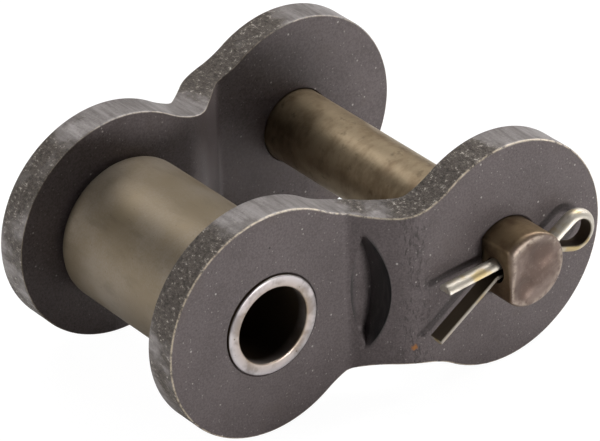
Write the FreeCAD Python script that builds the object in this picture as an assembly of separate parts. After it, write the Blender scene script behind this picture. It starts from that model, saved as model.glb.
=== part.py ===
import FreeCAD, Part
import math
import os

# Offset link of a roller chain: two cranked plates, a bush pressed across their narrow
# end with a loose roller on it, and a connecting pin across their wide end, kept by a
# split pin. Millimetres; origin on the bush axis midway between the plates, X from the
# bush to the connecting pin, Y from the split pin side to the head side, Z up.

Vector = FreeCAD.Vector

# chain
pitch = 25.4
inner_width = 21.0

# plates
plate_thickness = 3.6
plate_end_radius = 12.07
waist_half_height = 8.3
crank_offset = 4.4
crank_angle = 42.0
crank_inner_radius = 1.5
crank_middle_x = 12.3
relief_clearance = 0.18
relief_left_x = 10.1
relief_depth = 0.06

# bush
bush_outer_diameter = 10.6
bush_bore_diameter = 8.1
bush_proud = 0.24
bush_edge = 0.2

# roller
roller_diameter = 15.5
roller_running_clearance = 0.08
roller_side_clearance = 0.25
roller_edge_radius = 0.9

# connecting pin
pin_diameter = 7.92
pin_slip_clearance = 0.05
pin_end_proud = 4.17
pin_end_chamfer = 0.45
pin_flat_distance = 2.8
pin_head_diameter = 10.2
pin_head_height = 1.4
pin_head_edge = 0.5

# split pin
wire_radius = 0.85
leg_half_gap = 0.3
leg_lift = 0.12
neck_half_gap = 0.1
neck_lift = 0.32
cross_hole_clearance = 0.06
cross_hole_margin = 0.35
leg_bend_radius = 1.1
leg_bend_standoff = 0.36
upper_leg_length = 5.95
upper_leg_angle = 4.5
lower_leg_length = 8.55
lower_leg_angle = 32.5
eye_inner_radius = 1.42
eye_reach = 3.15
eye_tilt = 6.0
eye_neck_radius = 1.2
eye_standoff = 0.32

# places that follow from the sizes above
bush_end_face = inner_width / 2.0 + plate_thickness
pin_end_face = bush_end_face + crank_offset
bush_radius = bush_outer_diameter / 2.0
pin_radius = pin_diameter / 2.0
pin_hole_radius = pin_radius + pin_slip_clearance
pin_hole_flat = pin_flat_distance + pin_slip_clearance
pin_tip = pin_end_face + pin_end_proud
wire_spread = max(leg_half_gap + leg_lift, neck_half_gap + neck_lift)
cross_hole_radius = wire_radius + wire_spread + cross_hole_clearance
cross_hole_y = -(pin_end_face + cross_hole_margin + cross_hole_radius)


def along_y(radius, start, end, x=0.0):
    # round bar along Y between two places, its axis at height zero
    return Part.makeCylinder(radius, end - start, Vector(x, start, 0), Vector(0, 1, 0))


def rounded_edges(points, radii):
    # open path of straight lines whose corners are replaced by tangent arcs
    edges = []
    last = points[0]
    for before, corner, after, radius in zip(points, points[1:], points[2:], radii):
        inward = (corner - before).normalize()
        outward = (after - corner).normalize()
        half_turn = inward.getAngle(outward) / 2.0
        start = corner - inward * (radius * math.tan(half_turn))
        end = corner + outward * (radius * math.tan(half_turn))
        bisector = (outward - inward).normalize()
        middle = corner + bisector * (radius / math.cos(half_turn) - radius)
        edges.append(Part.LineSegment(last, start).toShape())
        edges.append(Part.Arc(start, middle, end).toShape())
        last = end
    edges.append(Part.LineSegment(last, points[-1]).toShape())
    return edges


def crank_face():
    # section of one cranked plate seen from above, of equal thickness through both bends
    angle = math.radians(crank_angle)
    half_run = crank_offset / math.tan(angle) / 2.0
    lean = plate_thickness * math.tan(angle / 2.0) / 2.0
    outer_bend = crank_inner_radius + plate_thickness
    inner_y = inner_width / 2.0
    left = -2.0 * plate_end_radius
    right = pitch + 2.0 * plate_end_radius
    root = crank_middle_x - half_run
    crest = crank_middle_x + half_run
    outside = [Vector(left, bush_end_face, 0), Vector(root - lean, bush_end_face, 0),
               Vector(crest - lean, pin_end_face, 0), Vector(right, pin_end_face, 0)]
    inside = [Vector(left, inner_y, 0), Vector(root + lean, inner_y, 0),
              Vector(crest + lean, inner_y + crank_offset, 0), Vector(right, inner_y + crank_offset, 0)]
    edges = rounded_edges(outside, [crank_inner_radius, outer_bend])
    edges += rounded_edges(inside, [outer_bend, crank_inner_radius])
    edges.append(Part.LineSegment(outside[0], inside[0]).toShape())
    edges.append(Part.LineSegment(outside[-1], inside[-1]).toShape())
    return Part.Face(Part.Wire(Part.__sortEdges__(edges)))


def outline_face():
    # waisted plate outline: two end circles joined by hollow arcs that touch them
    rise = plate_end_radius - waist_half_height
    half_pitch = pitch / 2.0
    waist_radius = (half_pitch ** 2 + waist_half_height ** 2 - plate_end_radius ** 2) / (2.0 * rise)
    share = plate_end_radius / (plate_end_radius + waist_radius)
    touch_x = share * half_pitch
    touch_z = share * (waist_half_height + waist_radius)
    corners = [Vector(touch_x, 0, touch_z), Vector(pitch - touch_x, 0, touch_z),
               Vector(pitch - touch_x, 0, -touch_z), Vector(touch_x, 0, -touch_z)]
    middles = [Vector(half_pitch, 0, waist_half_height), Vector(pitch + plate_end_radius, 0, 0),
               Vector(half_pitch, 0, -waist_half_height), Vector(-plate_end_radius, 0, 0)]
    edges = []
    for start, middle, end in zip(corners, middles, corners[1:] + corners[:1]):
        edges.append(Part.Arc(start, middle, end).toShape())
    return Part.Face(Part.Wire(edges))


def relief():
    # pocket at the foot of the crank that lets the next plate's round end swing past
    radius = plate_end_radius + relief_clearance
    floor = bush_end_face - relief_depth
    swing = along_y(radius, floor, pin_end_face)
    beyond = Part.makeBox(radius, pin_end_face, 2.0 * radius, Vector(relief_left_x, 0, -radius))
    return swing.common(beyond)


def plate():
    # cranked plate on the head side, without its pin hole
    band = crank_face()
    band.translate(Vector(0, 0, -plate_end_radius))
    band = band.extrude(Vector(0, 0, 2.0 * plate_end_radius))
    blank = outline_face().extrude(Vector(0, pin_end_face + plate_thickness, 0))
    body = band.common(blank).cut(relief())
    return body.cut(along_y(bush_radius, 0, pin_end_face))


def rear_plate():
    # plate on the head side with a round hole that grips the pin
    return plate().cut(along_y(pin_radius, 0, pin_tip, pitch))


def front_plate():
    # plate on the split pin side with a flat-sided hole that keeps the pin from turning
    body = plate().mirror(Vector(0, 0, 0), Vector(0, 1, 0))
    hole = along_y(pin_hole_radius, -pin_tip, 0, pitch)
    corner = Vector(pitch - pin_hole_flat, -pin_tip, -pin_hole_radius)
    kept = Part.makeBox(2.0 * pin_hole_radius, pin_tip, 2.0 * pin_hole_radius, corner)
    return body.cut(hole.common(kept))


def bush():
    # plain tube pressed through both plates and standing slightly proud of them
    end = bush_end_face + bush_proud
    tube = along_y(bush_radius, -end, end)
    rims = [edge for edge in tube.Edges if edge.Curve.TypeId == "Part::GeomCircle"]
    tube = tube.makeChamfer(bush_edge, rims)
    return tube.cut(along_y(bush_bore_diameter / 2.0, -end, end))


def roller():
    # loose ring with rounded rims that turns on the bush
    half_length = inner_width / 2.0 - roller_side_clearance
    ring = along_y(roller_diameter / 2.0, -half_length, half_length)
    rims = [edge for edge in ring.Edges if edge.Curve.TypeId == "Part::GeomCircle"]
    ring = ring.makeFillet(roller_edge_radius, rims)
    return ring.cut(along_y(bush_radius + roller_running_clearance, -half_length, half_length))


def connecting_pin():
    # headed pin: chamfered end, flat from that end through the plate, hole for the split pin
    shank = along_y(pin_radius, -pin_tip, pin_end_face, pitch)
    rim = min((edge for edge in shank.Edges if edge.Closed), key=lambda edge: edge.CenterOfMass.y)
    shank = shank.makeChamfer(pin_end_chamfer, [rim])
    head = along_y(pin_head_diameter / 2.0, pin_end_face, pin_end_face + pin_head_height, pitch)
    crown = max((edge for edge in head.Edges if edge.Closed), key=lambda edge: edge.CenterOfMass.y)
    head = head.makeFillet(pin_head_edge, [crown])
    flat_length = pin_tip - (pin_end_face - plate_thickness)
    corner = Vector(pitch - pin_diameter, -pin_tip, -pin_radius)
    flat = Part.makeBox(pin_diameter - pin_flat_distance, flat_length, pin_diameter, corner)
    through = Vector(pitch - pin_diameter, cross_hole_y, 0)
    hole = Part.makeCylinder(cross_hole_radius, 2.0 * pin_diameter, through, Vector(1, 0, 0))
    return shank.fuse(head).cut(flat).cut(hole).removeSplitter()


def leg_end(bend, length, angle):
    # tip of a leg that leaves a bend toward the bush at an angle below level
    slope = math.radians(angle)
    return bend + Vector(-length * math.cos(slope), 0, -length * math.sin(slope))


def eye_corners(neck):
    # corners of the eye: two lines from the neck touching a circle, closed by a far upright
    reach = math.hypot(eye_reach, neck_half_gap)
    spread = math.asin(eye_inner_radius / reach) - math.atan2(neck_half_gap, eye_reach)
    far = eye_reach + eye_inner_radius
    high = neck_half_gap + far * math.tan(spread)
    turn = FreeCAD.Rotation(Vector(0, 1, 0), -eye_tilt)
    return neck + turn.multVec(Vector(far, 0, high)), neck + turn.multVec(Vector(far, 0, -high))


def split_pin():
    # half-round wire doubled on itself through the pin, eye beyond it and legs spread
    bend = Vector(pitch - pin_flat_distance - leg_bend_standoff, cross_hole_y, leg_lift)
    upper_bend = bend + Vector(0, 0, leg_half_gap)
    lower_bend = bend - Vector(0, 0, leg_half_gap)
    neck = Vector(pitch + pin_radius + eye_standoff, cross_hole_y, neck_lift)
    gap = Vector(0, 0, neck_half_gap)
    upper_corner, lower_corner = eye_corners(neck)
    points = [leg_end(upper_bend, upper_leg_length, upper_leg_angle), upper_bend, neck + gap,
              upper_corner, lower_corner,
              neck - gap, lower_bend, leg_end(lower_bend, lower_leg_length, lower_leg_angle)]
    radii = [leg_bend_radius, eye_neck_radius, eye_inner_radius,
             eye_inner_radius, eye_neck_radius, leg_bend_radius]
    path = Part.Wire(rounded_edges(points, radii))
    along = (points[1] - points[0]).normalize()
    outward = along.cross(Vector(0, 1, 0))
    side = Vector(0, wire_radius, 0)
    arc = Part.Arc(points[0] - side, points[0] + outward * wire_radius, points[0] + side)
    chord = Part.LineSegment(points[0] + side, points[0] - side)
    section = Part.Wire([arc.toShape(), chord.toShape()])
    sweep = Part.BRepOffsetAPI.MakePipeShell(path)
    sweep.setBiNormalMode(Vector(0, 1, 0))
    sweep.add(section)
    sweep.build()
    sweep.makeSolid()
    return sweep.shape()


os.makedirs("parts", exist_ok=True)
front_plate().exportStep("parts/front_plate.step")
rear_plate().exportStep("parts/rear_plate.step")
bush().exportStep("parts/bush.step")
roller().exportStep("parts/roller.step")
connecting_pin().exportStep("parts/connecting_pin.step")
split_pin().exportStep("parts/split_pin.step")
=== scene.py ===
import math
import bmesh
import bpy
import numpy as np
from mathutils import Matrix, Vector


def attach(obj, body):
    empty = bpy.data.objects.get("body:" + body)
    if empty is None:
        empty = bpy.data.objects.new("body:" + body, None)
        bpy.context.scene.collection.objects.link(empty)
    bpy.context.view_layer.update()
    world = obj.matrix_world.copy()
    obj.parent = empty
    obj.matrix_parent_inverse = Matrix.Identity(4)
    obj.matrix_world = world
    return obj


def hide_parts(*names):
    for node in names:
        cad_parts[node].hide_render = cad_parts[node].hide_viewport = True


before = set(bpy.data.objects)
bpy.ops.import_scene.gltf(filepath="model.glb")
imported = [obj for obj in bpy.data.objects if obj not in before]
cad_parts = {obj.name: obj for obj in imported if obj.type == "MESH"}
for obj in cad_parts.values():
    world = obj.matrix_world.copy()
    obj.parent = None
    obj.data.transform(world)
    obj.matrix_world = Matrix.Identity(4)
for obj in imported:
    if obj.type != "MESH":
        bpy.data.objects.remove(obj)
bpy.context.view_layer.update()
print("frame loaded")

# every length below is in millimetres, and meshes are built in metres
mm = 0.001
weldDistance = 1e-7

# sizes that several pieces share
link = {
    "pitch": 25.4,
    "innerWidth": 21.0,
    "plateThickness": 3.6,
    "crankOffset": 4.4,
    "pinRadius": 3.96,
    "pinFlat": 2.8,
    "bushRadius": 5.3,
}
bushFace = link["innerWidth"] / 2 + link["plateThickness"]
pinFace = bushFace + link["crankOffset"]

# gentle unevenness of faces
waves = {
    "count": 6,
    "stretch": (0.6, 1.8),
}


def smoothStep(low, high, value):
    # zero below low, one above high, an even S curve between
    t = np.clip((value - low) / (high - low), 0.0, 1.0)
    return t * t * (3.0 - 2.0 * t)


def wobble(x, z, seed, scale):
    # mean of plane sine waves with seeded directions, phases and stretches
    rng = np.random.default_rng(seed)
    total = np.zeros(np.broadcast(x, z).shape)
    for wave in range(waves["count"]):
        angle, phase = rng.uniform(0, math.tau), rng.uniform(0, math.tau)
        stretch = rng.uniform(*waves["stretch"])
        total += np.sin((x * math.cos(angle) + z * math.sin(angle)) * stretch / scale + phase)
    return total / waves["count"]


def stripQuads(rows, columns, closed, start):
    # corner numbers of the quads of a grid, whose columns may close into a ring
    left = np.arange(columns if closed else columns - 1)
    right = (left + 1) % columns
    row = np.arange(rows - 1)[:, None] * columns
    quads = np.stack([row + left, row + right, row + columns + right, row + columns + left], axis=-1)
    return quads.reshape(-1, 4) + start


def ringRows(radius, y, angle):
    # rings about the Y axis: radius and y of each row, carried round the angles
    x, z = radius * np.cos(angle), radius * np.sin(angle)
    return np.stack([x, np.broadcast_to(y, x.shape), z], axis=-1)


def overGrid(values, shape):
    # one value per row spread over a whole grid
    return {key: np.broadcast_to(value[:, None], shape) for key, value in values.items()}


def buildPiece(name, grids, body, node, material, sharpAngle=38.0):
    # welds grids, each (points, attributes, closed), into one smooth-shaded closed mesh
    points, quads, layers, start = [], [], {}, 0
    names = sorted({key for grid in grids for key in grid[1]})
    for grid, attributes, closed in grids:
        rows, columns = grid.shape[:2]
        points.append(grid.reshape(-1, 3))
        quads.append(stripQuads(rows, columns, closed, start))
        for key in names:
            values = np.broadcast_to(attributes.get(key, 0.0), (rows, columns))
            layers.setdefault(key, []).append(values.reshape(-1))
        start += rows * columns
    points, quads = np.concatenate(points) * mm, np.concatenate(quads)
    mesh = bpy.data.meshes.new(name)
    mesh.vertices.add(len(points))
    mesh.vertices.foreach_set("co", points.astype(np.float32).ravel())
    mesh.loops.add(quads.size)
    mesh.loops.foreach_set("vertex_index", quads.astype(np.int32).ravel())
    mesh.polygons.add(len(quads))
    mesh.polygons.foreach_set("loop_start", np.arange(0, quads.size, 4, dtype=np.int32))
    for key, values in layers.items():
        layer = mesh.attributes.new(key, "FLOAT", "POINT")
        layer.data.foreach_set("value", np.concatenate(values).astype(np.float32))
    mesh.update(calc_edges=True)
    welded = bmesh.new()
    welded.from_mesh(mesh)
    bmesh.ops.remove_doubles(welded, verts=welded.verts, dist=weldDistance)
    bmesh.ops.dissolve_degenerate(welded, edges=welded.edges, dist=weldDistance)
    bmesh.ops.recalc_face_normals(welded, faces=welded.faces)
    welded.to_mesh(mesh)
    welded.free()
    mesh.polygons.foreach_set("use_smooth", np.ones(len(mesh.polygons), dtype=bool))
    mesh.set_sharp_from_angle(angle=math.radians(sharpAngle))
    piece = bpy.data.objects.new(name, mesh)
    bpy.context.scene.collection.objects.link(piece)
    mesh.materials.append(material)
    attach(piece, body)
    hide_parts(node)
    print(name, "has", len(mesh.vertices), "points")
    return piece


class Value:
    # a shader socket whose operators add Math nodes
    def __init__(self, graph, socket):
        self.graph = graph
        self.socket = socket

    def maths(self, operation, *others):
        settings = {"operation": operation}
        return self.graph.node("ShaderNodeMath", settings, dict(enumerate((self,) + others)))

    def __add__(self, other):
        return self.maths("ADD", other)

    def __radd__(self, other):
        return self.maths("ADD", other)

    def __sub__(self, other):
        return self.maths("SUBTRACT", other)

    def __rsub__(self, other):
        return self.graph.node("ShaderNodeMath", {"operation": "SUBTRACT"}, {0: other, 1: self})

    def __mul__(self, other):
        return self.maths("MULTIPLY", other)

    def __rmul__(self, other):
        return self.maths("MULTIPLY", other)

    def clamp(self):
        return self.graph.node("ShaderNodeClamp", {}, {0: self})

    def step(self, low, high):
        # rises smoothly from zero at low to one at high
        settings = {"interpolation_type": "SMOOTHSTEP", "clamp": True}
        return self.graph.node("ShaderNodeMapRange", settings, {0: self, 1: low, 2: high, 3: 0.0, 4: 1.0})


class Finish:
    # a new material with one Principled shader and one method that adds any other node
    def __init__(self, name):
        self.material = bpy.data.materials.new(name)
        self.material.use_nodes = True
        self.tree = self.material.node_tree
        self.shader = self.tree.nodes["Principled BSDF"]
        self.place = self.node("ShaderNodeTexCoord", {}, {}, "Object")

    def node(self, kind, settings, inputs, output=0):
        # any node by type: its settings first, then its inputs as numbers or links
        made = self.tree.nodes.new(kind)
        for key, value in settings.items():
            setattr(made, key, value)
        for key, value in inputs.items():
            if isinstance(value, Value):
                self.tree.links.new(value.socket, made.inputs[key])
            else:
                made.inputs[key].default_value = value
        return Value(self, made.outputs[output])

    def noise(self, scale, detail=3.0, roughness=0.55, stretch=None):
        # smooth random pattern, scale in marks per metre, optionally stretched along the axes
        place = self.place
        if stretch:
            place = self.node("ShaderNodeMapping", {}, {"Vector": place, "Scale": stretch})
        inputs = {"Vector": place, "Scale": scale, "Detail": detail, "Roughness": roughness}
        return self.node("ShaderNodeTexNoise", {}, inputs)

    def dots(self, scale, radius, share):
        # small round marks: distance to seeded points, kept only for a share of the cells
        inputs = {"Vector": self.place, "Scale": scale}
        cell = self.node("ShaderNodeTexVoronoi", {"feature": "F1"}, inputs)
        tint = self.node("ShaderNodeTexVoronoi", {"feature": "F1"}, inputs, "Color")
        pick = self.node("ShaderNodeSeparateColor", {}, {0: tint})
        return (1.0 - cell.step(radius * 0.5, radius)) * pick.step(1.0 - share, 1.001 - share)

    def attribute(self, name):
        # a value stored with the mesh's points
        return self.node("ShaderNodeAttribute", {"attribute_name": name}, {}, "Fac")

    def axis(self, index):
        # one coordinate of the place, in metres
        return self.node("ShaderNodeSeparateXYZ", {}, {0: self.place}, index)

    def mix(self, amount, first, second):
        # colour between two colours
        inputs = {0: amount, 6: first if isinstance(first, Value) else (*first, 1.0),
                  7: second if isinstance(second, Value) else (*second, 1.0)}
        return self.node("ShaderNodeMix", {"data_type": "RGBA"}, inputs, 2)

    def bump(self, height, distance):
        return self.node("ShaderNodeBump", {}, {"Height": height, "Distance": distance, "Strength": 1.0})

    def set(self, **sockets):
        # plain numbers go on the shader's own sockets, patterns are linked
        for key, value in sockets.items():
            socket = self.shader.inputs[key.replace("_", " ")]
            if isinstance(value, Value):
                self.tree.links.new(value.socket, socket)
            else:
                socket.default_value = value
        return self.material


# dark satin finish of the plates: colours, where the edge is torn, and depth of the relief of the surface
plateLook = {
    "dark": (0.070, 0.055, 0.054),
    "light": (0.118, 0.096, 0.096),
    "dot": (0.36, 0.33, 0.31),
    "pit": (0.030, 0.024, 0.022),
    "stain": (0.062, 0.045, 0.034),
    "edgeDark": (0.140, 0.122, 0.115),
    "edgeLight": (0.300, 0.275, 0.266),
    "tornDark": (0.024, 0.017, 0.012),
    "tornMiddle": (0.095, 0.077, 0.062),
    "tornLight": (0.56, 0.51, 0.45),
    # painted shade for the relief pocket's walls and corners
    "relief": (0.014, 0.013, 0.013),
    # bright rim colour: painted highlight along the rounded edges, partly bare metal
    "rim": (0.64, 0.54, 0.41),
    "rust": (0.26, 0.10, 0.02),
    "rustPlace": (0.0141, -0.0181, -0.0064),
    "rustSize": (0.00040, 0.00075),
    "tornPlaces": (
        (-0.0085, 0.0040, 0.12),
        (0.0035, 0.0060, -0.16),
        (0.0185, 0.0055, 0.14),
        (0.030, 0.005, -0.08),
    ),
    "bendStart": (0.0122, 0.0136),
    "bendEnd": (0.0150, 0.0170),
    "bendOutside": (0.0150, 0.0156),
    "metal": 0.35,
    "roughness": 0.47,
    "bumpHeight": 0.00003,
}


def makePlateSteel():
    # grain, stains, dots and pits on the faces, then stretch marks, a rust dot, the painted shade in the relief
    # pocket and the edge
    finish = Finish("plateSteel")
    look = plateLook
    cloud = finish.noise(240.0, 4.0, 0.6)
    grain = finish.noise(4600.0, 3.0, 0.7)
    face = finish.mix((cloud * 0.25 + grain * 0.75).step(0.36, 0.64), look["dark"], look["light"])
    stain = finish.noise(120.0, 3.0, 0.6).step(0.56, 0.72)
    face = finish.mix(stain * 0.35, face, look["stain"])
    dots = finish.dots(1250.0, 0.19, 0.14) * finish.noise(800.0).step(0.40, 0.54)
    fineDots = finish.dots(2700.0, 0.26, 0.16)
    face = finish.mix((dots * 0.9 + fineDots * 0.35).clamp(), face, look["dot"])
    pits = finish.dots(640.0, 0.11, 0.06) + finish.dots(1900.0, 0.24, 0.06) * 0.6
    face = finish.mix((pits * 0.85).clamp(), face, look["pit"])
    x, y = finish.axis(0), finish.axis(1)
    outside = y.maths("ABSOLUTE").step(*look["bendOutside"])
    bend = x.step(*look["bendStart"]) * (1.0 - x.step(*look["bendEnd"])) * outside
    stretched = finish.noise(3400.0, 3.0, 0.7, stretch=(1.0, 1.0, 0.40))
    marks = bend * stretched.step(0.50, 0.60) * finish.noise(600.0).step(0.36, 0.58)
    face = finish.mix(marks * 0.6, face, look["pit"])
    ends = {0: finish.place, 1: look["rustPlace"]}
    away = finish.node("ShaderNodeVectorMath", {"operation": "DISTANCE"}, ends, 1)
    spot = 1.0 - (away + finish.noise(3000.0) * 0.0006).step(*look["rustSize"])
    face = finish.mix(spot, face, look["rust"])
    scuffs = finish.noise(1500.0, 3.0, 0.6, stretch=(1.0, 1.0, 0.16)).step(0.30, 0.60)
    # painted shade in the relief pocket, broken by scuffs
    face = finish.mix((finish.attribute("relief") * (0.75 + scuffs * 0.35)).clamp(), face, look["relief"])
    wall = finish.attribute("wall")
    rim = finish.attribute("rim")
    across = finish.attribute("across")
    zone = finish.noise(150.0, 2.0, 0.5) * 0.6 + finish.noise(900.0, 2.0, 0.5) * 0.16 + 0.12
    for place, width, amount in look["tornPlaces"]:
        away = (x - place).maths("ABSOLUTE")
        zone = zone + (1.0 - away.step(width * 0.4, width * 1.3)) * amount
    torn = (zone + (1.0 - across) * 0.04).step(0.47, 0.60)
    speck = finish.noise(2700.0, 5.0, 0.78, stretch=(1.0, 0.7, 1.0))
    tornColour = finish.mix(speck.step(0.36, 0.54), look["tornDark"], look["tornMiddle"])
    tornColour = finish.mix(speck.step(0.56, 0.68), tornColour, look["tornLight"])
    streak = finish.noise(1300.0, 4.0, 0.65, stretch=(1.0, 0.14, 1.0))
    smooth = finish.mix((streak * 0.65 + grain * 0.35).step(0.34, 0.66), look["edgeDark"], look["edgeLight"])
    edge = finish.mix(torn * 0.92, smooth, tornColour)
    colour = finish.mix(wall, face, edge)
    # bright broken line on the rounded edges: painted highlight, partly bare metal
    rimGlint = (rim * finish.noise(1500.0, 4.0, 0.75).step(0.36, 0.56)).clamp()
    colour = finish.mix(rimGlint * 0.8, colour, look["rim"])
    tornHeight = torn * wall * speck
    height = grain * 0.5 + cloud * 0.2 - pits * 1.0 - marks * 1.2 + fineDots * 0.3 + tornHeight * 6.0
    normal = finish.bump(height + streak * wall * 1.2, look["bumpHeight"])
    rough = look["roughness"] + (grain - 0.5) * 0.30 + torn * wall * 0.10 - rimGlint * 0.12
    return finish.set(Base_Color=colour, Metallic=look["metal"], Roughness=rough, Normal=normal)


# olive-brown satin finish of the roller
rollerLook = {
    "olive": (0.210, 0.165, 0.108),
    "grey": (0.255, 0.215, 0.168),
    "dark": (0.120, 0.092, 0.060),
    "metal": 0.70,
    "roughness": 0.42,
    "bumpHeight": 0.00002,
}


def makeRollerSteel():
    # clouds of two tones, faint bands round the axis and dark specks
    finish = Finish("rollerSteel")
    look = rollerLook
    cloud = finish.noise(170.0, 3.0, 0.5)
    grain = finish.noise(4600.0, 3.0, 0.7)
    drawn = finish.noise(800.0, 3.0, 0.6, stretch=(1.0, 0.35, 1.0))
    colour = finish.mix((cloud * 0.6 + grain * 0.4).step(0.36, 0.66), look["olive"], look["grey"])
    colour = finish.mix(drawn.step(0.50, 0.74) * 0.30, colour, look["dark"])
    specks = finish.dots(2100.0, 0.20, 0.14)
    colour = finish.mix(specks * 0.45, colour, look["dark"])
    normal = finish.bump(grain * 0.5 + drawn * 0.25 - specks * 0.4, look["bumpHeight"])
    rough = look["roughness"] + (grain - 0.5) * 0.16 + cloud * 0.10
    return finish.set(Base_Color=colour, Metallic=look["metal"], Roughness=rough, Normal=normal)


# finish of the connecting pin: olive between the plates, rusty on the free end
pinLook = {
    "olive": (0.300, 0.232, 0.148),
    "brown": (0.200, 0.142, 0.084),
    "dark": (0.060, 0.040, 0.022),
    "rustDark": (0.090, 0.052, 0.026),
    "rustLight": (0.190, 0.130, 0.070),
    "end": (0.190, 0.143, 0.122),
    # darker end tone, also used for the painted shade in the dents
    "endDark": (0.105, 0.070, 0.056),
    "rim": (0.33, 0.27, 0.22),
    "freeEnd": (-0.0188, -0.0180),
    "metal": 0.75,
    "roughness": 0.45,
    "bumpHeight": 0.00002,
}


def makePinSteel():
    # blotched shank, rusty free end, and a paler end face with painted shade in its dents and a bright broken rim
    finish = Finish("pinSteel")
    look = pinLook
    cloud = finish.noise(260.0, 4.0, 0.6)
    grain = finish.noise(4600.0, 3.0, 0.7)
    turned = finish.noise(900.0, 3.0, 0.6, stretch=(0.8, 1.3, 0.8))
    colour = finish.mix((cloud * 0.6 + turned * 0.4).step(0.36, 0.60), look["brown"], look["olive"])
    blots = finish.noise(700.0, 3.0, 0.6).step(0.58, 0.72)
    colour = finish.mix(blots * 0.45, colour, look["dark"])
    free = 1.0 - finish.axis(1).step(*look["freeEnd"])
    rusty = finish.mix(cloud.step(0.40, 0.62), look["rustDark"], look["rustLight"])
    colour = finish.mix(free * 0.85, colour, rusty)
    endFace = finish.attribute("endFace")
    endColour = finish.mix(finish.noise(420.0, 3.0, 0.6).step(0.35, 0.65), look["endDark"], look["end"])
    # painted shade in the dents, a little browner
    endColour = finish.mix(finish.attribute("dent") * 0.85, endColour, look["endDark"])
    endColour = finish.mix(grain.step(0.55, 0.72) * 0.3, endColour, look["rim"])
    colour = finish.mix(endFace, colour, endColour)
    rim = finish.attribute("rim") * finish.noise(1100.0, 3.0, 0.7).step(0.36, 0.58)
    colour = finish.mix((rim * 0.8).clamp(), colour, look["rim"])
    normal = finish.bump(grain * 0.5 + turned * 0.2 + blots * 0.3, look["bumpHeight"])
    rough = look["roughness"] + (grain - 0.5) * 0.2 + endFace * 0.06 + blots * 0.08
    return finish.set(Base_Color=colour, Metallic=look["metal"], Roughness=rough, Normal=normal)


# bright finish of the bush's end faces, with painted shade in the bore
bushLook = {
    "face": (0.56, 0.515, 0.52),
    "faceDark": (0.30, 0.27, 0.265),
    # dark colour for the nicks, and for the painted shade in the bore and in the gap beside the plate
    "bore": (0.060, 0.040, 0.024),
    "warmGlint": (0.42, 0.28, 0.14),
    # painted warm reflection at the bore's mouth
    "metal": 0.7,
    "roughness": 0.34,
    "bumpHeight": 0.00002,
}


def makeBushSteel():
    # clouded bright face with nicks, a painted warm reflection at the bore's mouth, and painted shade in the bore
    # and in the gap beside the plate
    finish = Finish("bushSteel")
    look = bushLook
    cloud = finish.noise(520.0, 3.0, 0.6)
    grain = finish.noise(5200.0, 2.0, 0.6)
    face = finish.mix(cloud.step(0.34, 0.58), look["faceDark"], look["face"])
    nicks = finish.dots(1500.0, 0.20, 0.16)
    face = finish.mix(nicks * 0.7, face, look["bore"])
    # painted warm reflection round the bore's mouth
    face = finish.mix(finish.attribute("mouth") * 0.5, face, look["warmGlint"])
    # painted shade in the gap between the bush and the plate
    face = finish.mix(finish.attribute("seam"), face, look["bore"])
    # painted shade in the bore
    bore = finish.attribute("bore")
    colour = finish.mix(bore, face, look["bore"])
    normal = finish.bump(grain * 0.4 + cloud * 0.5 - nicks * 0.8, look["bumpHeight"])
    rough = look["roughness"] + (grain - 0.5) * 0.15 + bore * 0.25
    return finish.set(Base_Color=colour, Metallic=look["metal"], Roughness=rough, Normal=normal)


# bright finish of the split pin, with straw tints and dark flats
wireLook = {
    "bright": (0.50, 0.46, 0.40),
    "straw": (0.46, 0.34, 0.13),
    "flat": (0.150, 0.120, 0.085),
    "metal": 0.85,
    "roughness": 0.46,
    "bumpHeight": 0.000012,
}


def makeWireSteel():
    # straw clouds and fine drawing marks along the wire
    finish = Finish("splitPinSteel")
    look = wireLook
    cloud = finish.noise(420.0, 2.0, 0.5)
    drawn = finish.noise(2600.0, 3.0, 0.6, stretch=(0.2, 1.0, 0.6))
    colour = finish.mix(cloud.step(0.50, 0.66) * 0.8, look["bright"], look["straw"])
    colour = finish.mix(drawn.step(0.50, 0.72) * 0.35, colour, look["flat"])
    colour = finish.mix(finish.attribute("flat"), colour, look["flat"])
    normal = finish.bump(drawn, look["bumpHeight"])
    rough = look["roughness"] + drawn * 0.12
    return finish.set(Base_Color=colour, Metallic=look["metal"], Roughness=rough, Normal=normal)


plateSteel = makePlateSteel()
rollerSteel = makeRollerSteel()
pinSteel = makePinSteel()
bushSteel = makeBushSteel()
wireSteel = makeWireSteel()
print("finishes made")

# cranked plates
plate = {
    "flatHoleGap": 0.05,
    "rays": {"inward": 26, "floor": 8, "outward": 9, "plain": 40},
    # weights of the painted shade across the relief pocket, darkest at its walls
    "reliefShade": (0.75, 0.45, 0.1, 0.0, 0.05, 0.1, 0.2, 0.45, 1.0),
    "faceUneven": 0.035,
    "reliefUneven": 0.03,
    "wallUneven": 0.03,
    "evenMiddle": 12.0,
    "evenReach": (1.5, 3.0),
    "outerRimShade": (0.4, 1.0, 0.9, 0.3),
    "innerRimShade": (0.2, 0.5, 0.3),
    "endRadius": 12.07,
    "waistHalfHeight": 8.3,
    "crankAngle": 42.0,
    "crankInnerRadius": 1.5,
    "crankMiddle": 12.3,
    "outerRound": 0.20,
    "innerRound": 0.16,
    "holeChamfer": 0.16,
    "holeGap": 0.02,
    "reliefRadius": 12.25,
    "reliefLeft": 9.45,
    "reliefBulge": 0.65,
    "reliefDepth": 0.05,
    "reliefWall": 0.07,
    "reliefTipAngle": (23.0, 34.0),
    "waistSteps": 34,
    "endSteps": 150,
    "cutSteps": 46,
}


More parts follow.
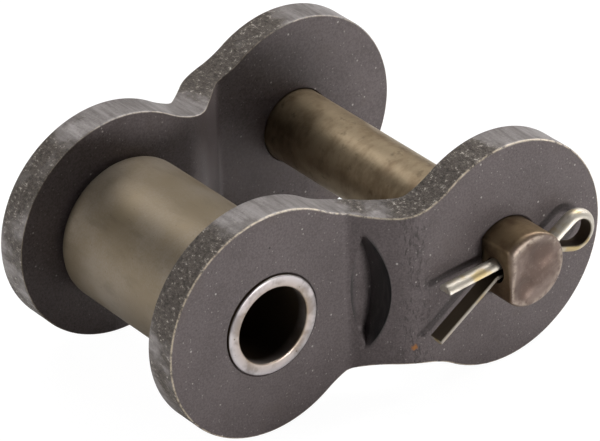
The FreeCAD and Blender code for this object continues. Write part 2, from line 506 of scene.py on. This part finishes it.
def crankRise(x, rootRadius, crestRadius, shift):
    # how far a face stands out along the plate: flat, arc, straight climb, arc, flat
    angle = math.radians(plate["crankAngle"])
    rise = link["crankOffset"]
    halfRun = rise / math.tan(angle) / 2
    rootStart = plate["crankMiddle"] - halfRun + shift - rootRadius * math.tan(angle / 2)
    rootEnd = rootStart + rootRadius * math.sin(angle)
    crestEnd = plate["crankMiddle"] + halfRun + shift + crestRadius * math.tan(angle / 2)
    crestStart = crestEnd - crestRadius * math.sin(angle)
    rootArc = rootRadius - np.sqrt(np.maximum(rootRadius ** 2 - (x - rootStart) ** 2, 0.0))
    climb = rootRadius * (1 - math.cos(angle)) + (x - rootEnd) * math.tan(angle)
    crestArc = rise - crestRadius + np.sqrt(np.maximum(crestRadius ** 2 - (crestEnd - x) ** 2, 0.0))
    stages = [x < rootStart, x < rootEnd, x < crestStart, x < crestEnd]
    return np.select(stages, [0.0 * x, rootArc, climb, crestArc], rise)


def outerHeight(x):
    # distance of the outer face from the middle of the link
    small = plate["crankInnerRadius"]
    lean = link["plateThickness"] * math.tan(math.radians(plate["crankAngle"]) / 2) / 2
    return bushFace + crankRise(x, small, small + link["plateThickness"], -lean)


def innerHeight(x):
    # distance of the inner face from the middle of the link
    small = plate["crankInnerRadius"]
    lean = link["plateThickness"] * math.tan(math.radians(plate["crankAngle"]) / 2) / 2
    return link["innerWidth"] / 2 + crankRise(x, small + link["plateThickness"], small, lean)


def halfOutline():
    # bush half of the outline: hollow arc from the waist, round end, hollow arc back; with outward normals
    radius, half = plate["endRadius"], link["pitch"] / 2
    waist = plate["waistHalfHeight"]
    hollow = (half ** 2 + waist ** 2 - radius ** 2) / (2 * (radius - waist))
    centreZ = waist + hollow
    touch = math.atan2(centreZ, half)
    down = np.linspace(-math.pi / 2, -math.pi + touch, plate["waistSteps"], endpoint=False)
    top = np.stack([half + hollow * np.cos(down), centreZ + hollow * np.sin(down)], axis=-1)
    topNormal = -np.stack([np.cos(down), np.sin(down)], axis=-1)
    around = np.linspace(touch, math.tau - touch, plate["endSteps"])
    end = radius * np.stack([np.cos(around), np.sin(around)], axis=-1)
    endNormal = end / radius
    mirror = np.array([1.0, -1.0])
    points = np.concatenate([top, end, top[::-1] * mirror])
    normals = np.concatenate([topNormal, endNormal, topNormal[::-1] * mirror])
    return points, normals


def loopOf(inset):
    # closed border of the bush half at an inset from the outline, closed along the middle cut
    points, normals = halfOutline()
    border = points - normals * inset
    cut = np.linspace(border[-1], border[0], plate["cutSteps"] + 2)[1:-1]
    return np.concatenate([border, cut])


def ringRadii(border, hole, pocket):
    # radial grid from the hole to the border; rings follow the relief's straight and round sides
    angle = np.arctan2(border[:, 1], border[:, 0])
    reach = np.hypot(border[:, 0], border[:, 1])
    span = reach - hole
    rays = plate["rays"]
    if not pocket:
        return hole + np.linspace(0, 1, rays["plain"])[:, None] ** 0.9 * span, angle
    right = np.minimum(plate["reliefRadius"], hole + 0.95 * span)
    front = np.cos(angle) > 0.5
    tangent = np.tan(np.clip(angle, -1.0, 1.0))
    leftX = plate["reliefLeft"] + plate["reliefBulge"] * (2.0 * tangent) ** 2
    left = np.where(front, leftX / np.maximum(np.cos(angle), 0.5), right)
    left = np.minimum(np.minimum(left, hole + 0.90 * span), right - 0.30)
    wall = plate["reliefWall"]
    inward = hole + np.linspace(0, 1, rays["inward"])[:, None] * (left - wall - hole)
    floor = left + wall + np.linspace(0, 1, rays["floor"])[:, None] * (right - left - 2 * wall)
    outward = right + wall + np.linspace(0, 1, rays["outward"])[:, None] * (reach - right - wall)
    return np.concatenate([inward, floor, outward]), angle


def faceGrid(side, nearPin, outer, holeRadius, pocket):
    # one half face: rays from the hole's rim to the border, raised to the face's height
    border = loopOf(plate["outerRound"] if outer else plate["innerRound"])
    hole = holeRadius(np.arctan2(border[:, 1], border[:, 0])) + plate["holeChamfer"]
    radii, angle = ringRadii(border, hole, pocket)
    x, z = radii * np.cos(angle), radii * np.sin(angle)
    x[-1], z[-1] = border[:, 0], border[:, 1]
    if nearPin:
        x = link["pitch"] - x
    height = outerHeight(x) if outer else innerHeight(x)
    if pocket:
        tipStart, tipEnd = plate["reliefTipAngle"]
        share = 1 - smoothStep(tipStart, tipEnd, np.degrees(np.abs(angle)))
        floor = np.zeros(radii.shape)
        first = plate["rays"]["inward"]
        floor[first:first + plate["rays"]["floor"]] = share
        pocketFloor = bushFace - plate["reliefDepth"] + plate["reliefUneven"] * wobble(x, z, 5, 0.5)
        height = height + floor * np.minimum(pocketFloor - height, 0.0)
    dish = smoothStep(0, 2.0, radii[-1] - radii) * smoothStep(0, 1.0, radii - hole)
    awayFromCrank = smoothStep(*plate["evenReach"], np.abs(x - plate["evenMiddle"]))
    height = height + dish * plate["faceUneven"] * wobble(x, z, 11 + side, 3.0) * awayFromCrank
    points = np.stack([x, side * height, z], axis=-1)
    fields = {key: np.zeros(radii.shape) for key in ("wall", "rim", "across", "relief")}
    if pocket:
        # painted shade in the relief pocket, darkest at its two walls
        shade = np.array(plate["reliefShade"])[:, None]
        fields["relief"][first:first + len(shade)] = share * shade
    return points, fields, True


def wallGrid(side, nearPin):
    # edge wall of one half: rounded off the outer face, down the thickness, rounded onto the inner face
    points, normals = halfOutline()
    quarter = np.linspace(0, math.pi / 2, 6)
    outer, inner = plate["outerRound"], plate["innerRound"]
    across = np.linspace(0, 1, 9)[1:-1]
    insets = np.concatenate([outer * (1 - np.sin(quarter)), 0 * across, inner * (1 - np.sin(quarter[::-1]))])
    x = points[:, 0] - normals[:, 0] * insets[:, None]
    z = points[:, 1] - normals[:, 1] * insets[:, None]
    if nearPin:
        x = link["pitch"] - x
    top, bottom = outerHeight(x), innerHeight(x)
    fall = np.concatenate([outer * (1 - np.cos(quarter)), 0 * across, 0 * quarter])
    lift = np.concatenate([0 * quarter, 0 * across, inner * (1 - np.cos(quarter[::-1]))])
    share = np.concatenate([0 * quarter, across, 0 * quarter + 1])
    thickTop, thickBottom = top - outer, bottom + inner
    height = np.where(share[:, None] == 0, top - fall[:, None],
                      np.where(share[:, None] == 1, bottom + lift[:, None],
                               thickTop + (thickBottom - thickTop) * share[:, None]))
    rough = plate["wallUneven"] * wobble(points[:, 0] * 3 + 9, points[:, 1] * 3 + share[:, None] * 5, 21 + side, 1.0)
    rough = rough * np.sin(math.pi * share[:, None])
    x = x - (1 if not nearPin else -1) * normals[:, 0] * np.abs(rough)
    z = z - normals[:, 1] * np.abs(rough)
    grid = np.stack([x, side * height, z], axis=-1)
    rows = len(insets)
    rim = np.zeros(rows)
    # weights of the painted edge highlight on the rounded edges
    rim[1:5] = plate["outerRimShade"]
    rim[-4:-1] = plate["innerRimShade"]
    wall = np.ones(rows)
    wall[0] = wall[-1] = 0.0
    wall[1] = wall[-2] = 0.5
    depth = np.concatenate([0 * quarter, across, 0 * quarter + 1])
    shape = (rows, len(points))
    return grid, overGrid({"wall": wall, "rim": rim, "across": depth}, shape), False


def holeGrid(side, nearPin, holeRadius):
    # wall of the hole with a small chamfer at both faces
    border = loopOf(plate["outerRound"])
    innerBorder = loopOf(plate["innerRound"])
    chamfer = plate["holeChamfer"]
    outerAngle = np.arctan2(border[:, 1], border[:, 0])
    innerAngle = np.arctan2(innerBorder[:, 1], innerBorder[:, 0])
    share = np.array([0.0, 0.0, 0.25, 0.5, 0.75, 1.0, 1.0])
    angle = outerAngle + (np.unwrap(innerAngle - outerAngle)) * share[:, None]
    widen = np.array([chamfer, 0, 0, 0, 0, 0, chamfer])
    radius = holeRadius(angle) + widen[:, None]
    x, z = radius * np.cos(angle), radius * np.sin(angle)
    if nearPin:
        x = link["pitch"] - x
    top, bottom = outerHeight(x), innerHeight(x)
    height = top + (bottom - top) * share[:, None]
    height[1] -= chamfer
    height[-2] += chamfer
    grid = np.stack([x, side * height, z], axis=-1)
    return grid, {}, True


def roundHole(radius):
    return lambda angle: np.full(np.shape(angle), radius + plate["holeGap"])


def flatSidedHole(angle):
    # round hole whose side towards the bush is a flat, at angle zero because the pin half is built mirrored
    clearance = plate["flatHoleGap"]
    reach = (link["pinFlat"] + clearance) / np.maximum(np.cos(angle), 0.2)
    return np.minimum(link["pinRadius"] + clearance, np.where(np.cos(angle) > 0.2, reach, 99.0))


def makePlate(name, side, pinHole):
    bushHole = roundHole(link["bushRadius"])
    grids = [
        faceGrid(side, False, True, bushHole, True),
        faceGrid(side, False, False, bushHole, False),
        wallGrid(side, False),
        holeGrid(side, False, bushHole),
        faceGrid(side, True, True, pinHole, False),
        faceGrid(side, True, False, pinHole, False),
        wallGrid(side, True),
        holeGrid(side, True, pinHole),
    ]
    return buildPiece(name + "Dressed", grids, "link", name, plateSteel)


makePlate("front_plate", -1, flatSidedHole)
makePlate("rear_plate", 1, roundHole(link["pinRadius"]))
print("plates made")

turned = {
    "segments": 168,
    "bushLength": 28.68,
    "bushBore": 4.05,
    "bushRim": 0.22,
    "bushBoreRim": 0.18,
    "bushSteps": 24,
    "rollerRadius": 7.75,
    "rollerLength": 20.5,
    "rollerBore": 5.38,
    "rollerRim": 0.95,
    "rollerBoreRim": 0.25,
    "rollerSteps": 40,
    "rollerBarrel": 0.03,
}


def revolve(profile, fields, segments):
    # closed profile of (radius, y) carried once around the Y axis
    angle = np.linspace(0, math.tau, segments, endpoint=False)
    grid = ringRows(profile[:, :1], profile[:, 1:], angle)
    return grid, overGrid(fields, grid.shape[:2]), True


def cornerArc(centre, radius, start, end, steps=6):
    # points on an arc in the (radius, y) plane, angles in degrees
    angle = np.radians(np.linspace(start, end, steps))
    return np.stack([centre[0] + radius * np.cos(angle), centre[1] + radius * np.sin(angle)], axis=-1)


def tubeProfile(outer, bore, half, outerRim, boreRim, steps, barrel=0.0):
    # closed outline of a tube wall: outside, rounded rims, end faces and bore
    y = np.linspace(-half + outerRim, half - outerRim, steps)
    outside = np.stack([outer - barrel * (2 * y / half) ** 2 / 4, y], axis=-1)
    edge = outer - barrel
    back = np.linspace(half - boreRim, -half + boreRim, steps)
    inside = np.stack([np.full(steps, bore), back], axis=-1)
    parts = [
        outside[1:-1],
        cornerArc((edge - outerRim, half - outerRim), outerRim, 0, 90),
        cornerArc((bore + boreRim, half - boreRim), boreRim, 90, 180),
        inside[1:-1],
        cornerArc((bore + boreRim, -half + boreRim), boreRim, 180, 270),
        cornerArc((edge - outerRim, -half + outerRim), outerRim, 270, 360),
    ]
    profile = np.concatenate(parts)
    return np.concatenate([profile, profile[:1]])


def makeBush():
    # closed tube, with weights for the painted shade in the bore, the painted warm reflection at its mouth at each
    # face and the painted shade in the gap beside the plate
    half = turned["bushLength"] / 2
    profile = tubeProfile(link["bushRadius"], turned["bushBore"], half,
                          turned["bushRim"], turned["bushBoreRim"], turned["bushSteps"])
    offBore, along = profile[:, 0] - turned["bushBore"], np.abs(profile[:, 1])
    # painted shade in the bore, darker deeper inside
    bore = smoothStep(0.30, 0.05, offBore)
    deep = smoothStep(half - 0.05, half - 0.5, along)
    # painted warm reflection round the bore's mouth at each face
    mouth = smoothStep(0.30, 0.10, offBore) * smoothStep(half - 0.30, half - 0.10, along)
    # painted shade in the gap between the bush and the plate
    seam = smoothStep(0.06, 0.01, link["bushRadius"] - profile[:, 0])
    grid = revolve(profile, {"bore": bore * deep, "mouth": mouth, "seam": seam}, turned["segments"])
    return buildPiece("bushDressed", [grid], "link", "bush", bushSteel)


def makeRoller():
    profile = tubeProfile(turned["rollerRadius"], turned["rollerBore"], turned["rollerLength"] / 2,
                          turned["rollerRim"], turned["rollerBoreRim"], turned["rollerSteps"],
                          turned["rollerBarrel"])
    grid = revolve(profile, {}, turned["segments"])
    return buildPiece("rollerDressed", [grid], "roller", "roller", rollerSteel)


makeBush()
makeRoller()
print("bush and roller made")

pin = {
    "tip": pinFace + 4.17,
    "flatStart": pinFace - 3.6,
    "headRadius": 5.1,
    "headHeight": 1.4,
    "headEdge": 0.5,
    "chamfer": 0.30,
    "chamferExtra": 0.50,
    "chamferAngle": 125.0,
    "cornerPower": 46.0,
    "crossHoleRadius": 1.33,
    "crossHoleY": 20.26,
    "rodLength": 14.0,
    "rodSegments": 48,
    "segments": 176,
    "dents": ((1.25, 1.35, 1.35, 0.26), (-1.0, -1.75, 1.0, 0.20)),
}


def pinSection(angle, flatShare):
    # round section whose -X side becomes a flat: a soft least of the circle and the flat's distance
    circle = np.full(np.broadcast(angle, flatShare).shape, link["pinRadius"])
    facing = np.maximum(-np.cos(angle), 1e-3)
    power = pin["cornerPower"]
    flat = link["pinFlat"] / facing
    soft = (circle ** -power + np.minimum(flat, 50.0) ** -power) ** (-1 / power)
    return circle + (soft - circle) * flatShare


def makePin():
    # rings along the pin from the middle of the head to the middle of the chamfered end
    angle = np.linspace(0, math.tau, pin["segments"], endpoint=False)
    headTop = pinFace + pin["headHeight"]
    edge = pin["headEdge"]
    headEdge = cornerArc((pin["headRadius"] - edge, headTop - edge), edge, 90, 0, 7)
    crown = np.linspace(0.0, pin["headRadius"] - pin["headEdge"], 8)[:-1]
    headRadius = np.concatenate([crown, headEdge[:, 0], [pin["headRadius"], link["pinRadius"] + 0.1]])
    headY = np.concatenate([headTop + 0 * crown, headEdge[:, 1], [pinFace + 0.02, pinFace]])
    headGrid = np.stack([headRadius[:, None] * np.cos(angle), headY[:, None] + 0 * angle,
                         headRadius[:, None] * np.sin(angle)], axis=-1)
    bodyY = np.concatenate([[pinFace], np.linspace(pinFace - 0.05, -pin["flatStart"], 90)])
    flatY = np.linspace(-pin["flatStart"] - 0.05, -pin["tip"] + 1.0, 40)
    section = pinSection(angle, 0.0)
    roundGrid = np.stack([section * np.cos(angle) + 0 * bodyY[:, None], bodyY[:, None] + 0 * angle,
                          section * np.sin(angle) + 0 * bodyY[:, None]], axis=-1)
    roundGrid[0] = headGrid[-1]
    cut = pinSection(angle, 1.0)
    flatGrid = np.stack([cut * np.cos(angle) + 0 * flatY[:, None], flatY[:, None] + 0 * angle,
                         cut * np.sin(angle) + 0 * flatY[:, None]], axis=-1)
    lean = np.maximum(np.cos(angle - math.radians(pin["chamferAngle"])), 0.0) ** 2
    chamfer = pin["chamfer"] + pin["chamferExtra"] * lean * (1 + 0.25 * wobble(angle * 3, 0 * angle, 3, 1.0))
    quarter = np.linspace(0, math.pi / 2, 9)[:, None]
    rimScale = cut - chamfer * (1 - np.cos(quarter))
    rimY = -pin["tip"] + chamfer * 0.9 * (1 - np.sin(quarter)) + 0.02
    share = np.linspace(1, 0, 26)[1:, None]
    plateau = (cut - chamfer) * share
    endX = np.concatenate([rimScale * np.cos(angle), plateau * np.cos(angle)])
    endZ = np.concatenate([rimScale * np.sin(angle), plateau * np.sin(angle)])
    endY = np.concatenate([rimY, -pin["tip"] + 0.02 + 0 * plateau])
    inside = smoothStep(0.0, 0.8, 1.0 - np.concatenate([np.ones(rimScale.shape), share + 0 * plateau]))
    # weights of the painted shade in the dents
    dent = np.zeros(endX.shape)
    for dentX, dentZ, width, depth in pin["dents"]:
        bowl = np.exp(-(((endX - dentX) ** 2 + (endZ - dentZ) ** 2) / width ** 2) ** 2) * (inside > 0)
        endY = endY + depth * bowl
        dent = np.maximum(dent, bowl)
    endY = endY + 0.03 * (1 + wobble(endX, endZ, 8, 0.9)) * inside
    endGrid = np.stack([endX, endY, endZ], axis=-1)
    endRows = len(endX)
    endFace = np.clip(np.arange(endRows) / 7.0, 0, 1)
    rim = np.zeros(endRows)
    rim[5:12] = (0.3, 0.7, 1.0, 1.0, 0.8, 0.4, 0.1)
    grids = []
    for grid, values in ((headGrid, {}), (roundGrid, {}), (np.stack([roundGrid[-1], flatGrid[0]]), {}),
                         (flatGrid, {}), (np.stack([flatGrid[-1], endGrid[0]]), {}),
                         (endGrid, {"endFace": endFace[:, None], "rim": rim[:, None], "dent": dent})):
        grid = grid + np.array([link["pitch"], 0.0, 0.0])
        fields = {key: np.broadcast_to(value, grid.shape[:2]) for key, value in values.items()}
        grids.append((grid, fields, True))
    piece = buildPiece("connectingPinDressed", grids, "link", "connecting_pin", pinSteel, 50.0)
    return drillCrossHole(piece)


def drillCrossHole(piece):
    # takes a round rod along X out of the pin, where the split pin passes
    rod = bmesh.new()
    radius = pin["crossHoleRadius"] * mm
    bmesh.ops.create_cone(rod, cap_ends=True, segments=pin["rodSegments"], radius1=radius,
                          radius2=radius, depth=pin["rodLength"] * mm)
    turn = Matrix.Rotation(math.pi / 2, 4, "Y")
    place = Matrix.Translation(Vector((link["pitch"] * mm, -pin["crossHoleY"] * mm, 0)))
    rod.transform(place @ turn)
    rodMesh = bpy.data.meshes.new("crossHoleRod")
    rod.to_mesh(rodMesh)
    rod.free()
    rodMesh.materials.append(pinSteel)
    cutter = bpy.data.objects.new("crossHoleRod", rodMesh)
    bpy.context.scene.collection.objects.link(cutter)
    step = piece.modifiers.new("crossHole", "BOOLEAN")
    step.operation = "DIFFERENCE"
    step.solver = "EXACT"
    step.object = cutter
    bpy.context.view_layer.update()
    drilled = bpy.data.meshes.new_from_object(piece.evaluated_get(bpy.context.evaluated_depsgraph_get()))
    piece.modifiers.clear()
    piece.data = drilled
    bpy.data.objects.remove(cutter)
    return piece


makePin()
print("pin made")

# split pin, same route as the solid: flats face each other, round side out
wire = {
    "radius": 0.85,
    "y": -20.26,
    "legHalfGap": 0.3,
    "legLift": 0.12,
    "neckHalfGap": 0.1,
    "neckLift": 0.32,
    "bendRadius": 1.1,
    "bendX": link["pitch"] - link["pinFlat"] - 0.36,
    "neckX": link["pitch"] + link["pinRadius"] + 0.32,
    "upperLength": 5.95,
    "upperAngle": 4.5,
    "lowerLength": 8.55,
    "lowerAngle": 32.5,
    "eyeInner": 1.42,
    "eyeReach": 3.15,
    "eyeTilt": 6.0,
    "neckRadius": 1.2,
    "sectionSteps": 22,
    "edgeSoft": 0.10,
}


def roundedPath(points, radii):
    # straight runs joined by touching arcs, as points with tangents
    places, tangents = [], []
    last = points[0]
    for before, corner, after, radius in zip(points, points[1:], points[2:], radii):
        inward = (corner - before) / np.linalg.norm(corner - before)
        outward = (after - corner) / np.linalg.norm(after - corner)
        half = math.acos(np.clip(inward @ outward, -1, 1)) / 2
        start, end = corner - inward * radius * math.tan(half), corner + outward * radius * math.tan(half)
        bisector = (outward - inward) / np.linalg.norm(outward - inward)
        centre = corner + bisector * radius / math.cos(half)
        run = np.linspace(0, 1, max(2, int(np.linalg.norm(start - last) / 0.25)))[:-1, None]
        places.append(last + (start - last) * run)
        tangents.append(np.repeat(inward[None], len(run), 0))
        sweep = np.linspace(0, 2 * half, max(4, int(2 * half / 0.09)))[:, None]
        places.append(centre + (start - centre) * np.cos(sweep) + inward * radius * np.sin(sweep))
        spin = inward * np.cos(sweep) - (start - centre) / radius * np.sin(sweep)
        tangents.append(spin)
        last = end
    final = (points[-1] - last) / np.linalg.norm(points[-1] - last)
    run = np.linspace(0, 1, max(2, int(np.linalg.norm(points[-1] - last) / 0.25)))[1:, None]
    places.append(last + (points[-1] - last) * run)
    tangents.append(np.repeat(final[None], len(run), 0))
    return np.concatenate(places), np.concatenate(tangents)


def wireRoute():
    # corners of the route in the X-Z plane, from the upper leg's end round the eye to the lower leg's end
    def legEnd(bend, length, angle):
        return bend - length * np.array([math.cos(math.radians(angle)), math.sin(math.radians(angle))])
    upperBend = np.array([wire["bendX"], wire["legLift"] + wire["legHalfGap"]])
    lowerBend = np.array([wire["bendX"], wire["legLift"] - wire["legHalfGap"]])
    neck = np.array([wire["neckX"], wire["neckLift"]])
    gap = np.array([0.0, wire["neckHalfGap"]])
    reach = math.hypot(wire["eyeReach"], wire["neckHalfGap"])
    spread = math.asin(wire["eyeInner"] / reach) - math.atan2(wire["neckHalfGap"], wire["eyeReach"])
    far = wire["eyeReach"] + wire["eyeInner"]
    high = wire["neckHalfGap"] + far * math.tan(spread)
    tilt = math.radians(wire["eyeTilt"])
    turn = np.array([[math.cos(tilt), -math.sin(tilt)], [math.sin(tilt), math.cos(tilt)]])
    corners = [legEnd(upperBend, wire["upperLength"], wire["upperAngle"]), upperBend, neck + gap,
               neck + turn @ np.array([far, high]), neck + turn @ np.array([far, -high]),
               neck - gap, lowerBend, legEnd(lowerBend, wire["lowerLength"], wire["lowerAngle"])]
    radii = [wire["bendRadius"], wire["neckRadius"], wire["eyeInner"],
             wire["eyeInner"], wire["neckRadius"], wire["bendRadius"]]
    return roundedPath(corners, radii)


def makeSplitPin():
    # half-round section with softened edges carried along the route, shrunk at both ends for the cut tips
    places, tangents = wireRoute()
    outward = np.stack([-tangents[:, 1], tangents[:, 0]], axis=-1)
    soft = wire["edgeSoft"]
    radius = wire["radius"]
    swing = np.linspace(math.radians(8), math.radians(172), wire["sectionSteps"])
    alongFlat = [-radius + soft, radius * -0.5, 0, radius * 0.5, radius - soft]
    across = np.concatenate([radius * np.cos(swing), alongFlat])
    up = np.concatenate([radius * np.sin(swing), np.zeros(5)])
    flat = np.concatenate([0 * swing, np.ones(5)])
    count = len(places)
    order = [0, 0, 0] + list(range(count)) + [count - 1] * 3
    scale = np.ones(count + 6)
    scale[:3] = (0.0, 0.86, 0.97)
    scale[-3:] = (0.97, 0.86, 0.0)
    push = np.zeros(count + 6)
    push[2], push[-3] = 0.04, 0.04
    push[:2], push[-2:] = 0.06, 0.06
    side = np.where(np.arange(count + 6) < count / 2, -1.0, 1.0)
    route = places[order] + tangents[order] * (side * (push - 0.06))[:, None]
    middle = radius * 0.42
    rise = middle + (up[None] - middle) * scale[:, None]
    x = route[:, :1] + outward[order][:, :1] * rise
    z = route[:, 1:] + outward[order][:, 1:] * rise
    y = wire["y"] + across[None] * scale[:, None]
    grid = np.stack([x, y, z], axis=-1)
    flatness = np.broadcast_to(flat[None], x.shape) * (scale > 0.99)[:, None]
    return buildPiece("splitPinDressed", [(grid, {"flat": flatness}, True)], "link",
                      "split_pin", wireSteel, 40.0)


makeSplitPin()
print("split pin made")

# floor, light and camera
studio = {
    "floorZ": -12.07,
    "floorColour": (0.92, 0.92, 0.92),
    "floorPale": (0.94, 0.94, 0.94),
    "floorHalf": 4.0,
    "floorDrop": 0.005,
    "floorWhite": 0.90,
    "floorGlow": 1.08,
    "worldLevel": 0.02,
    "lens": 273.72,
    "cameraPlace": (-219.478, -310.921, 232.103),
    "cameraRight": (0.7891859, -0.6135628, -0.0269503),
    "cameraUp": (0.3332409, 0.3909403, 0.8579721),
    "cameraBack": (-0.5158838, -0.6860804, 0.5129888),
    "aim": (12.0, 0.0, 0.0),
    "lightDistance": 420.0,
    "lights": (
        ("frontLight", 14.0, -1.0, 90.0, 1.75),
        ("leftLight", -100.0, 15.0, 180.0, 0.85),
        ("rightLight", 90.0, 55.0, 150.0, 1.20),
        ("backRightLight", 120.0, 50.0, 180.0, 0.40),
        ("sideLight", 85.0, 22.0, 100.0, 0.55),
        ("backLight", 180.0, 45.0, 180.0, 0.38),
    ),
}


def makeStage():
    # pale floor that shows white to the camera and keeps a soft shadow, under an even white world
    corners = np.array([[-1.0, -1.0], [1.0, -1.0], [1.0, 1.0], [-1.0, 1.0]]) * studio["floorHalf"]
    mesh = bpy.data.meshes.new("floor")
    height = (studio["floorZ"] - studio["floorDrop"]) * mm
    mesh.from_pydata([(x, y, height) for x, y in corners], [], [(0, 1, 2, 3)])
    floor = bpy.data.objects.new("floor", mesh)
    bpy.context.scene.collection.objects.link(floor)
    finish = Finish("floorWhite")
    pale = finish.noise(3.0, 2.0).step(0.2, 0.8)
    colour = finish.mix(pale, studio["floorColour"], studio["floorPale"])
    finish.set(Base_Color=colour, Roughness=0.9)
    ray = finish.node("ShaderNodeLightPath", {}, {}, "Is Camera Ray")
    glow = finish.node("ShaderNodeEmission", {}, {"Color": (1, 1, 1, 1), "Strength": studio["floorGlow"]})
    lit = Value(finish, finish.shader.outputs[0])
    share = ray * studio["floorWhite"]
    mixed = finish.node("ShaderNodeMixShader", {}, {0: share, 1: lit, 2: glow})
    output = finish.tree.nodes["Material Output"]
    finish.tree.links.new(mixed.socket, output.inputs["Surface"])
    mesh.materials.append(finish.material)
    world = bpy.data.worlds.new("studio")
    bpy.context.scene.world = world
    world.use_nodes = True
    tree = world.node_tree
    back = tree.nodes["Background"]
    back.inputs["Color"].default_value = (1, 1, 1, 1)
    path = tree.nodes.new("ShaderNodeLightPath")
    level = tree.nodes.new("ShaderNodeMapRange")
    tree.links.new(path.outputs["Is Camera Ray"], level.inputs[0])
    level.inputs[3].default_value = studio["worldLevel"]
    level.inputs[4].default_value = 1.0
    tree.links.new(level.outputs[0], back.inputs["Strength"])
    aim = Vector(studio["aim"])
    for name, azimuth, height, size, power in studio["lights"]:
        # azimuth 0 lights the front plate's face squarely, 90 comes from the pin's side
        turn, rise = math.radians(azimuth), math.radians(height)
        way = Vector((math.sin(turn) * math.cos(rise), -math.cos(turn) * math.cos(rise), math.sin(rise)))
        lamp = bpy.data.lights.new(name, "AREA")
        lamp.size = size * mm
        lamp.energy = power
        light = bpy.data.objects.new(name, lamp)
        bpy.context.scene.collection.objects.link(light)
        light.location = (aim + way * studio["lightDistance"]) * mm
        light.rotation_euler = (-way).to_track_quat("-Z", "Y").to_euler()


def makeCamera():
    # camera fitted to the photo's outlines, placed by its three axes
    data = bpy.data.cameras.new("camera")
    data.sensor_fit = "HORIZONTAL"
    data.sensor_width = 36.0
    data.lens = studio["lens"]
    data.clip_start = 0.01
    data.clip_end = 50.0
    camera = bpy.data.objects.new("camera", data)
    bpy.context.scene.collection.objects.link(camera)
    columns = [studio["cameraRight"], studio["cameraUp"], studio["cameraBack"]]
    turn = Matrix(columns).transposed().to_4x4()
    camera.matrix_world = Matrix.Translation(Vector(studio["cameraPlace"]) * mm) @ turn
    bpy.context.scene.camera = camera


makeStage()
makeCamera()
bpy.context.scene.view_settings.view_transform = "Standard"
print("stage, light and camera made")
